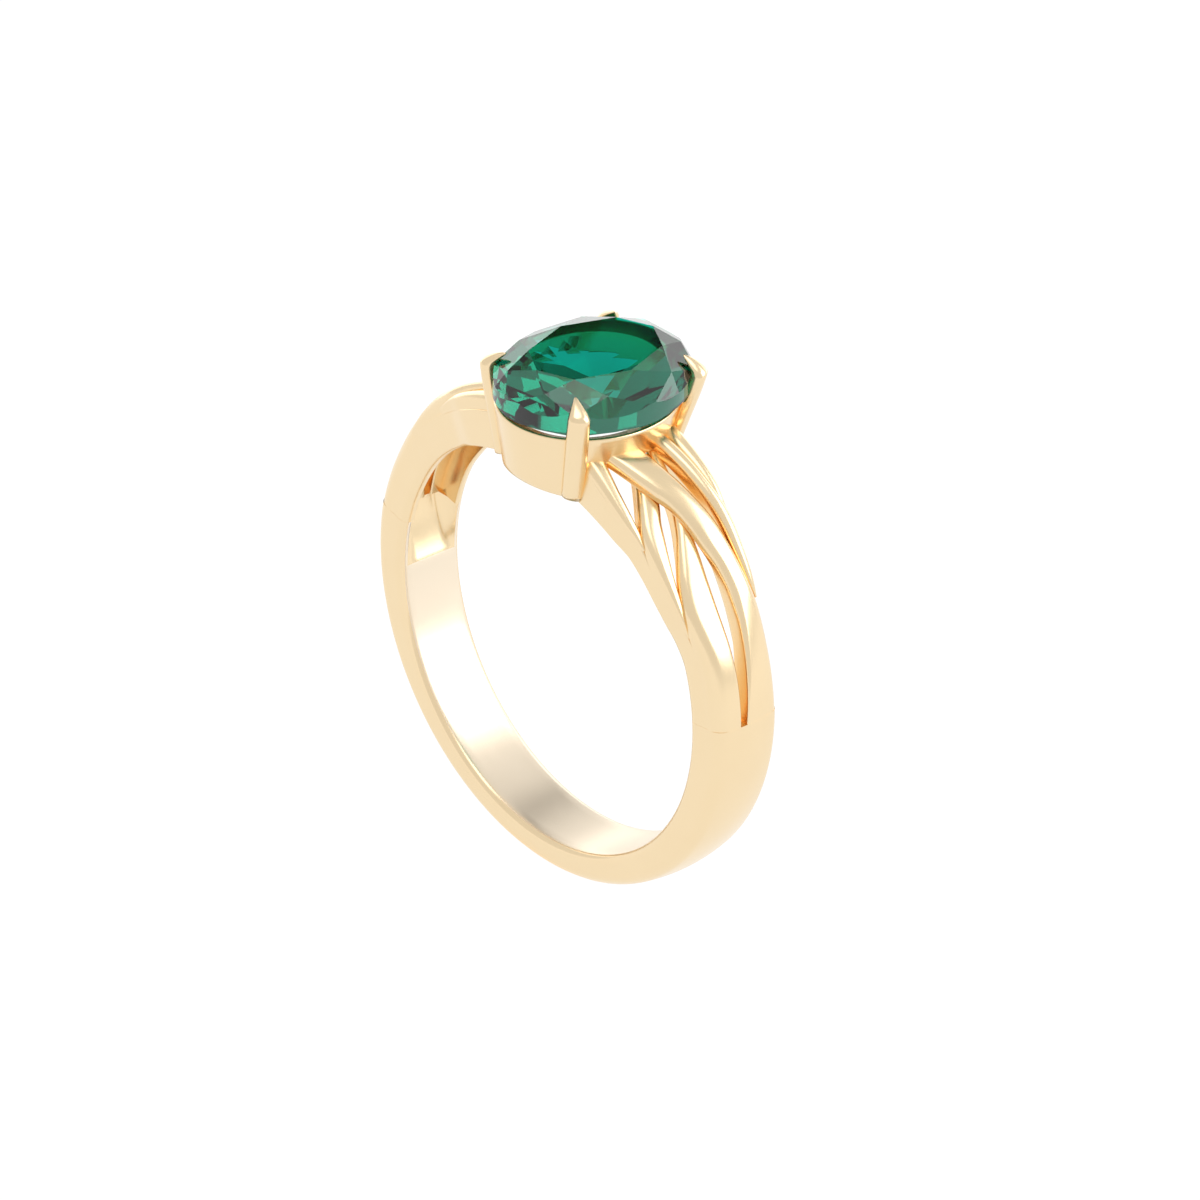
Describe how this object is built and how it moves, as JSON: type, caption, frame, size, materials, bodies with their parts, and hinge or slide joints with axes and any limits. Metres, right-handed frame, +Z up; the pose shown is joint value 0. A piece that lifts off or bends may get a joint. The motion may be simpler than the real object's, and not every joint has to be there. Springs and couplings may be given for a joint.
{
  "type": "cocktail ring",
  "caption": "Yellow gold ring: a plain band, open-work strand shoulders and a tapered oval cup whose claws hold a faceted green oval stone.",
  "frame": {"origin": "centre of the finger hole", "axes": "+Z up through the stone, Y along the finger, X across the shoulders"},
  "size_m": [0.02, 0.008, 0.0224],
  "materials": {
    "gold": "polished",
    "green_stone": "clear deep green, faceted"
  },
  "bodies": {
    "root": {"shank": "gold", "stone_cup": "gold", "claw_right_front": "gold", "claw_right_back": "gold", "claw_left_back": "gold", "claw_left_front": "gold", "right_low_rail": "gold", "right_tall_rail": "gold", "right_cross_strand": "gold", "right_edge_strand": "gold", "right_middle_strand": "gold", "right_short_strand": "gold", "left_low_rail": "gold", "left_tall_rail": "gold", "left_cross_strand": "gold", "left_edge_strand": "gold", "left_middle_strand": "gold", "left_short_strand": "gold", "stone": "green_stone"}
  },
  "joints": []
}
